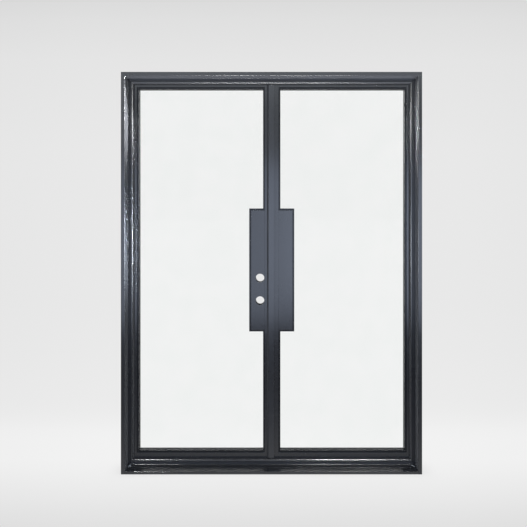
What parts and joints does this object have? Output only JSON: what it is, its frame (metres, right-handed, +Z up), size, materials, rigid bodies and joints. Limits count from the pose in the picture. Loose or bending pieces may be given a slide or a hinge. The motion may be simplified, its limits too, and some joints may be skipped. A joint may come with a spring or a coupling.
{
  "type": "french doors",
  "caption": "Pair of full-glass steel french doors in a welded frame, hinged to swing inwards, with an astragal, lock boxes and flush bolts.",
  "frame": {"origin": "on the floor, under the middle of the frame's width and depth", "axes": "+X to the right as seen from outside, +Y into the building through the doors, +Z up"},
  "size_m": [1.8162, 0.1537, 2.4257],
  "materials": {
    "frame_paint": "semi-gloss blue-black paint on welded steel",
    "leaf_paint": "semi-gloss blue-black paint on steel tube and plate",
    "bead_paint": "semi-gloss blue-black paint on steel bar",
    "astragal_paint": "semi-gloss blue-black paint on steel bar",
    "hinge_paint": "semi-gloss blue-black paint on turned steel",
    "hinge_steel": "bright turned steel",
    "screw_steel": "black zinc",
    "bolt_steel": "zinc plated steel",
    "seal_rubber": "matt black EPDM",
    "glazing_rubber": "matt black glazing tape",
    "block_rubber": "matt black rubber",
    "sweep_rubber": "matt black rubber",
    "spacer_aluminium": "satin anodised",
    "glass": "clear float glass"
  },
  "bodies": {
    "frame": {"left_jamb": "frame_paint", "right_jamb": "frame_paint", "head": "frame_paint", "sill": "frame_paint", "left_jamb_seal": "seal_rubber", "right_jamb_seal": "seal_rubber", "head_seal": "seal_rubber", "sill_seal": "seal_rubber", "left_frame_barrels": "hinge_paint", "right_frame_barrels": "hinge_paint", "left_hinge_pins": "hinge_steel", "right_hinge_pins": "hinge_steel", "left_hinge_washers": "hinge_steel", "right_hinge_washers": "hinge_steel"},
    "left_leaf": {"left_hinge_stile": "leaf_paint", "left_meeting_stile": "leaf_paint", "left_top_rail": "leaf_paint", "left_bottom_rail": "leaf_paint", "left_lock_box": "leaf_paint", "left_exterior_stops": "bead_paint", "left_top_bead": "bead_paint", "left_bottom_bead": "bead_paint", "left_hinge_side_bead": "bead_paint", "left_meeting_beads": "bead_paint", "left_box_beads": "bead_paint", "left_outer_pane": "glass", "left_inner_pane": "glass", "left_spacer_bar": "spacer_aluminium", "left_glazing_gaskets": "glazing_rubber", "left_setting_blocks": "block_rubber", "left_bead_screws": "screw_steel", "left_sweep": "sweep_rubber", "left_leaf_barrels": "hinge_paint"},
    "right_leaf": {"right_hinge_stile": "leaf_paint", "right_meeting_stile": "leaf_paint", "right_top_rail": "leaf_paint", "right_bottom_rail": "leaf_paint", "right_lock_box": "leaf_paint", "right_exterior_stops": "bead_paint", "right_top_bead": "bead_paint", "right_bottom_bead": "bead_paint", "right_hinge_side_bead": "bead_paint", "right_meeting_beads": "bead_paint", "right_box_beads": "bead_paint", "right_outer_pane": "glass", "right_inner_pane": "glass", "right_spacer_bar": "spacer_aluminium", "right_glazing_gaskets": "glazing_rubber", "right_setting_blocks": "block_rubber", "right_bead_screws": "screw_steel", "right_sweep": "sweep_rubber", "right_leaf_barrels": "hinge_paint", "astragal": "astragal_paint", "astragal_seal": "seal_rubber", "top_bolt_guide": "bolt_steel", "bottom_bolt_guide": "bolt_steel"},
    "top_bolt": {"top_flush_bolt": "bolt_steel"},
    "bottom_bolt": {"bottom_flush_bolt": "bolt_steel"}
  },
  "joints": [
    {"name": "left_leaf_swing", "type": "hinge", "parent": "frame", "child": "left_leaf", "pos_m": [-0.87645, 0.07708, 1.2], "axis": [0, 0, 1], "range_deg": [0, 110]},
    {"name": "right_leaf_swing", "type": "hinge", "parent": "frame", "child": "right_leaf", "pos_m": [0.87645, 0.07708, 1.2], "axis": [0, 0, 1], "range_deg": [-110, 0]},
    {"name": "top_bolt_slide", "type": "slide", "parent": "right_leaf", "child": "top_bolt", "axis": [0, 0, 1], "range_m": [0, 0.019]},
    {"name": "bottom_bolt_slide", "type": "slide", "parent": "right_leaf", "child": "bottom_bolt", "axis": [0, 0, -1], "range_m": [0, 0.019]}
  ]
}
